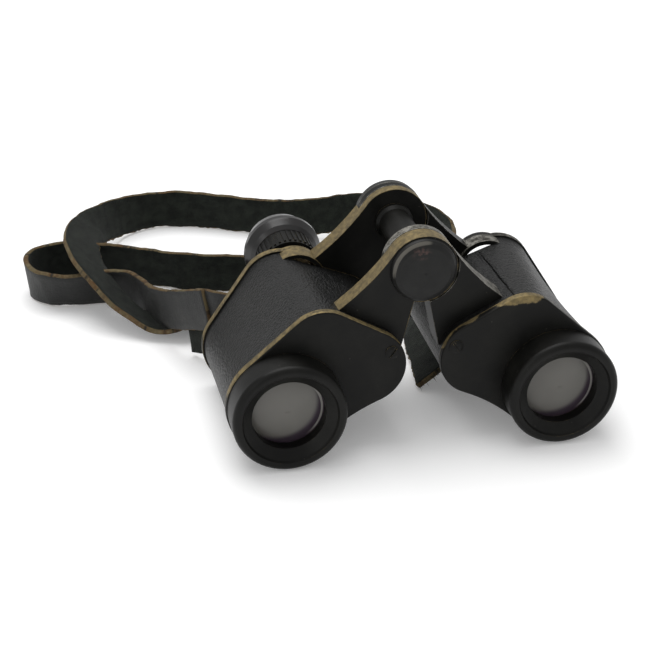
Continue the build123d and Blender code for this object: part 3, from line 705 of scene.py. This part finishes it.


# %% [markdown]
# ## Finish: bakelite, cap, bright metal and glass
#
# The eyecup is turned from a dark moulded plastic that has kept its polish. The hinge cap is satin
# black with a small stain, and the pale arc on the upper left of its shoulder is a painted highlight.
# The lenses are clear glass under a bloom.
# On an objective the bloom is thick, flat and grey, with a violet crescent of painted shade and a thin
# arc of painted highlight low at its right, and on the inner lenses it is hardly there.

# %% Bakelite
def bakelite_finish(name):
    finish = Finish(name, Specular_IOR_Level=0.42, Coat_Weight=0.15, Coat_Roughness=0.12)
    place = finish.place()
    clouds = finish.cloud(place, 110, 4)
    hairlines = finish.cloud(finish.stretched(place, (1.0, 5.0, 1.0)), 900, 5, 0.7)
    edge = finish.edges(0.8 * MM, 4.0)
    worn = (edge * 0.6 + (clouds - 0.5) * 0.8).ease(0.35, 0.7)
    base = finish.mix(clouds.ease(0.3, 0.7), (0.0045, 0.0042, 0.0043), (0.0090, 0.0080, 0.0080))
    colour = finish.mix(worn * 0.6, base, (0.045, 0.038, 0.033))
    roughness = 0.20 + clouds * 0.12 + hairlines * 0.10 + worn * 0.12
    normal = finish.bump(hairlines, 0.03 * MM, 0.4)
    return finish.drive(Base_Color=colour, Roughness=roughness, Normal=normal)


# %% Hinge cap and plain metal
def cap_finish(name):
    finish = Finish(name, Specular_IOR_Level=0.25)
    place = finish.place()
    clouds = finish.cloud(place, 120, 5)
    turning = finish.cloud(finish.stretched(place, (0.4, 6.0, 0.4)), 1400, 3)
    x, _, z = finish.parts(place)
    above = z - hinge_height
    radius = (x * x + above * above) ** 0.5
    rim = 1 - (radius - 9.9 * MM).size().ease(0.25 * MM, 0.9 * MM)
    corner = (above * 0.8 - x * 0.8).ease(3 * MM, 9 * MM)
    smudge_x = x + 1.5 * MM
    smudge_z = above - 6.8 * MM
    smudge = 1 - ((smudge_x * smudge_x + smudge_z * smudge_z * 2) ** 0.5).ease(0.8 * MM, 3.8 * MM)
    stain = smudge * finish.cloud(place, 600, 4).ease(0.42, 0.62) * 0.6
    # A pale arc on the upper left of the rounded rim is a painted highlight, with a little metallic
    # shine.
    painted_rim_highlight = (rim * corner + (clouds - 0.5) * 0.7).ease(0.50, 0.95)
    base = finish.mix(clouds.ease(0.35, 0.7), (0.0050, 0.0050, 0.0047), (0.0105, 0.0105, 0.0098))
    stained = finish.mix(stain, base, (0.105, 0.058, 0.050))
    colour = finish.mix(painted_rim_highlight * 0.6, stained, (0.16, 0.15, 0.13))
    return finish.drive(
        Base_Color=colour,
        Roughness=0.36 + clouds * 0.16 + turning * 0.05,
        Metallic=painted_rim_highlight * 0.4,
        Normal=finish.bump(turning, 0.03 * MM, 0.4),
    )


def metal_finish(name, tone, dull, per_metre=1500, metallic=1.0):
    finish = Finish(name, Metallic=metallic)
    place = finish.place()
    brushed = finish.cloud(finish.stretched(place, (1.0, 6.0, 1.0)), per_metre, 4, 0.65)
    tarnish = finish.cloud(place, 160, 5, 0.6)
    colour = finish.mix(tarnish.ease(0.35, 0.68), tone, dull)
    return finish.drive(
        Base_Color=colour,
        Roughness=0.28 + tarnish * 0.22 + brushed * 0.12,
        Normal=finish.bump(brushed, 0.04 * MM, 0.5),
    )


def disc_finish(name):
    finish = Finish(name, Specular_IOR_Level=0.4)
    place = finish.place()
    clouds = finish.cloud(place, 140, 5, 0.62)
    turned = finish.cloud(finish.stretched(place, (0.3, 8.0, 0.3)), 1100, 3)
    edge = finish.edges(0.7 * MM, 5.0)
    worn = (edge * 0.6 + (clouds - 0.42)).ease(0.2, 0.6)
    colour = finish.mix(worn, (0.012, 0.012, 0.011), (0.085, 0.084, 0.078))
    return finish.drive(
        Base_Color=colour,
        Roughness=0.38 + clouds * 0.2,
        Metallic=worn * 0.6,
        Normal=finish.bump(turned, 0.06 * MM, 0.6),
    )


# %% Glass
def lens_finish(name, bloom_low, bloom_high, tint, centre=None):
    """Coated glass under a dusty bloom, whose share runs from bloom_low to bloom_high. A centre
    (x, z) adds a violet crescent of painted shade and a thin arc of painted highlight, low at the
    lens's right."""
    finish = Finish(name, Transmission_Weight=1.0, IOR=1.5, Coat_Weight=0.3)
    place = finish.place()
    clouds = finish.cloud(place, 60, 2, 0.4)
    fine = finish.cloud(place, 1700, 4, 0.7)
    grains = 1 - finish.cells(place, 420).ease(0.03, 0.06)
    base = finish.mix(clouds.ease(0.3, 0.7), (0.82, 0.84, 0.86), tint)
    finish.drive(Base_Color=base, Roughness=0.03 + fine * 0.05)
    bloom = finish.tree.nodes.new("ShaderNodeBsdfPrincipled")
    bloom.inputs["Specular IOR Level"].default_value = 0.35
    bloom_and_painted_light = finish.mix(clouds.ease(0.3, 0.7), (0.118, 0.113, 0.101), (0.134, 0.129, 0.117))
    if centre:
        x, _, z = finish.parts(place)
        right = x - centre[0]
        over = z - centre[1]
        shifted = ((right + 3 * MM) * (right + 3 * MM) + (over - 3 * MM) * (over - 3 * MM)) ** 0.5
        radius = (right * right + over * over) ** 0.5
        # A dark violet crescent towards the lower right of the rim is painted shade.
        painted_shade_crescent = shifted.ease(11.6 * MM, 13.8 * MM)
        bloom_and_painted_light = finish.mix(painted_shade_crescent * 0.9, bloom_and_painted_light, (0.030, 0.018, 0.032))
        # A thin pale arc near the rim on the right is a painted highlight.
        painted_highlight_arc = (1 - (radius - 11.3 * MM).size().ease(0.2 * MM, 0.5 * MM)) * right.ease(6 * MM, 10 * MM)
        bloom_and_painted_light = finish.mix(painted_highlight_arc * 0.7, bloom_and_painted_light, (0.40, 0.39, 0.36))
    speckled = finish.mix(grains * 0.4, bloom_and_painted_light, (0.040, 0.038, 0.034))
    finish.tree.links.new(speckled.socket, bloom.inputs["Base Color"])
    finish.tree.links.new((0.30 + clouds * 0.15).socket, bloom.inputs["Roughness"])
    share = bloom_low + clouds.ease(0.25, 0.75) * (bloom_high - bloom_low)
    blend = finish.tree.nodes.new("ShaderNodeMixShader")
    finish.tree.links.new(share.socket, blend.inputs[0])
    finish.tree.links.new(finish.shader.outputs[0], blend.inputs[1])
    finish.tree.links.new(bloom.outputs[0], blend.inputs[2])
    output = finish.tree.nodes["Material Output"]
    finish.tree.links.new(blend.outputs[0], output.inputs["Surface"])
    return finish


# %% [markdown]
# ## Dressing the model
#
# Each node of the model gets the finish of its real piece. Left and right pieces share a finish
# unless it reads the side it is on. Assigning goes by the last words of the node's name, so a pair
# needs one line.

# %% Assign finishes
seam_y, seam_radius = -29 * MM, 3.2 * MM
arm_height = hinge_height - 16 * MM
left_seam = (
    (-28 * MM, seam_y, arm_height + 5 * MM),
    (-9 * MM, seam_y, arm_height - 5 * MM),
    seam_radius,
)
right_seam = (
    (8 * MM, seam_y, arm_height - 9 * MM),
    (17 * MM, seam_y, arm_height - 2 * MM),
    seam_radius,
)
right_patch = (
    (26 * MM, seam_y - 1 * MM, arm_height + 6 * MM),
    (36 * MM, seam_y - 1 * MM, arm_height + 5.5 * MM),
    4 * MM,
)
objective_x, objective_z = 45.25 * MM, 18.9 * MM
objective_tint = (0.70, 0.68, 0.78)
shared = {
    "objective_ring": enamel_finish("ring_enamel", 0.6 * MM, 0.55, 0.34),
    "eyepiece_tube": enamel_finish("tube_enamel", 0.5 * MM, 0.6),
    "focus_ring": enamel_finish("focus_enamel", 0.35 * MM, 0.5, 0.36),
    "cover_screw": enamel_finish("screw_enamel", 0.4 * MM, 0.9),
    "eyecup": bakelite_finish("eyecup_bakelite"),
    "ocular_tube": metal_finish("ocular_brass", (0.50, 0.37, 0.17), (0.22, 0.16, 0.08)),
    "objective_retainer": metal_finish("retainer_brass", (0.42, 0.31, 0.14), (0.15, 0.11, 0.06)),
    "prism_shelf": metal_finish("shelf_alloy", (0.42, 0.42, 0.41), (0.20, 0.20, 0.19), 900),
    "front_prism_clip": metal_finish("front_clip_steel", (0.45, 0.45, 0.46), (0.20, 0.19, 0.18)),
    "rear_prism_clip": metal_finish("rear_clip_steel", (0.45, 0.45, 0.46), (0.20, 0.19, 0.18)),
    "strap_lug": metal_finish("lug_steel", (0.30, 0.29, 0.27), (0.05, 0.045, 0.04)),
    "objective_flint_lens": lens_finish("flint_glass", 0.05, 0.15, (0.80, 0.84, 0.80)),
    "eye_lens": lens_finish("eye_glass", 0.30, 0.55, (0.74, 0.72, 0.80)),
    "field_lens": lens_finish("field_glass", 0.05, 0.15, (0.84, 0.86, 0.82)),
    "front_prism": lens_finish("front_prism_glass", 0.04, 0.12, (0.80, 0.86, 0.80)),
    "rear_prism": lens_finish("rear_prism_glass", 0.04, 0.12, (0.80, 0.86, 0.80)),
}
single = {
    "left_housing": enamel_finish("left_casting_enamel", sides=0.75, spots=[left_seam]),
    "right_housing": enamel_finish("right_casting_enamel", sides=0.6, silver=True, spots=[right_seam]),
    "left_front_cover": enamel_finish("left_cover_enamel", wear=1.3, sides=0.7, spots=[left_seam]),
    "right_front_cover": enamel_finish(
        "right_cover_enamel", wear=1.2, sides=0.3, spots=[right_seam, right_patch]
    ),
    "left_rear_cover": enamel_finish("left_rear_enamel", wear=1.3, sides=0.7),
    "right_rear_cover": enamel_finish("right_rear_enamel", wear=1.2, sides=0.35, silver=True),
    "left_leather": body_leather_finish("left_body_leather", -1),
    "right_leather": body_leather_finish("right_body_leather", 1, seam=True),
    "left_objective_crown_lens": lens_finish(
        "left_objective_glass", 0.84, 0.94, objective_tint, (-objective_x, objective_z)
    ),
    "right_objective_crown_lens": lens_finish(
        "right_objective_glass", 0.84, 0.94, objective_tint, (objective_x, objective_z)
    ),
    "hinge_tube": enamel_finish("hinge_tube_enamel", 0.6 * MM, 0.6, 0.30),
    "hinge_cap": cap_finish("hinge_cap_satin"),
    "interpupillary_scale_disc": disc_finish("scale_disc_grey"),
    "hinge_axle": metal_finish("axle_steel", (0.50, 0.50, 0.51), (0.28, 0.27, 0.26)),
    "axle_screw": metal_finish("screw_steel", (0.32, 0.31, 0.29), (0.08, 0.075, 0.07)),
}
dressed = 0
for name, node in nodes.items():
    if name.startswith("strap_"):
        continue
    plain = name.split("_", 1)[1] if name.startswith(("left_", "right_")) else name
    finish = single.get(name) or shared[plain]
    node.data.materials.clear()
    node.data.materials.append(finish.material)
    dressed += 1
print("dressed", dressed, "nodes")

# %% [markdown]
# ## Light and floor
#
# Black things are drawn by what they reflect. One large soft light overhead and a little behind
# gives every upper edge a pale line, a weak one at the left front opens the dark faces, and a bright
# even world and a faintly glowing table leave hardly any shadow.

# %% Floor, lights and world
floor_mesh = bpy.data.meshes.new("floor")
reach = 3.0
floor_mesh.from_pydata(
    [(-reach, -reach, 0), (reach, -reach, 0), (reach, reach, 0), (-reach, reach, 0)],
    [],
    [(0, 1, 2, 3)],
)
floor = bpy.data.objects.new("floor", floor_mesh)
floor.location.z = -0.0001
floor_finish = Finish("table_paper", Roughness=0.9, Specular_IOR_Level=0.1)
floor_finish.shader.inputs["Emission Color"].default_value = (1, 1, 1, 1)
floor_finish.shader.inputs["Emission Strength"].default_value = 0.15
paper = floor_finish.cloud(floor_finish.place(), 14, 2)
floor_finish.drive(Base_Color=floor_finish.mix(paper, (0.90, 0.90, 0.90), (0.92, 0.92, 0.92)))
floor_mesh.materials.append(floor_finish.material)
scene.collection.objects.link(floor)


def softbox(name, place, target, width, height, watts):
    light = bpy.data.lights.new(name, "AREA")
    light.shape = "RECTANGLE"
    light.size = width
    light.size_y = height
    light.energy = watts
    holder = bpy.data.objects.new(name, light)
    holder.location = place
    aim = Vector(target) - Vector(place)
    holder.rotation_euler = aim.to_track_quat("-Z", "Y").to_euler()
    scene.collection.objects.link(holder)
    return holder


softbox("overhead", (-0.15, 0.35, 1.1), (0, 0, 0.03), 0.9, 0.9, 9.0)
softbox("left_front", (-0.9, -0.7, 0.6), (0, 0, 0.03), 0.5, 0.5, 1.5)
world = bpy.data.worlds.new("studio")
world.use_nodes = True
world.node_tree.nodes["Background"].inputs["Color"].default_value = (1, 1, 1, 1)
world.node_tree.nodes["Background"].inputs["Strength"].default_value = 0.62
scene.world = world
scene.view_settings.view_transform = "Standard"
print("floor, lights and world made")
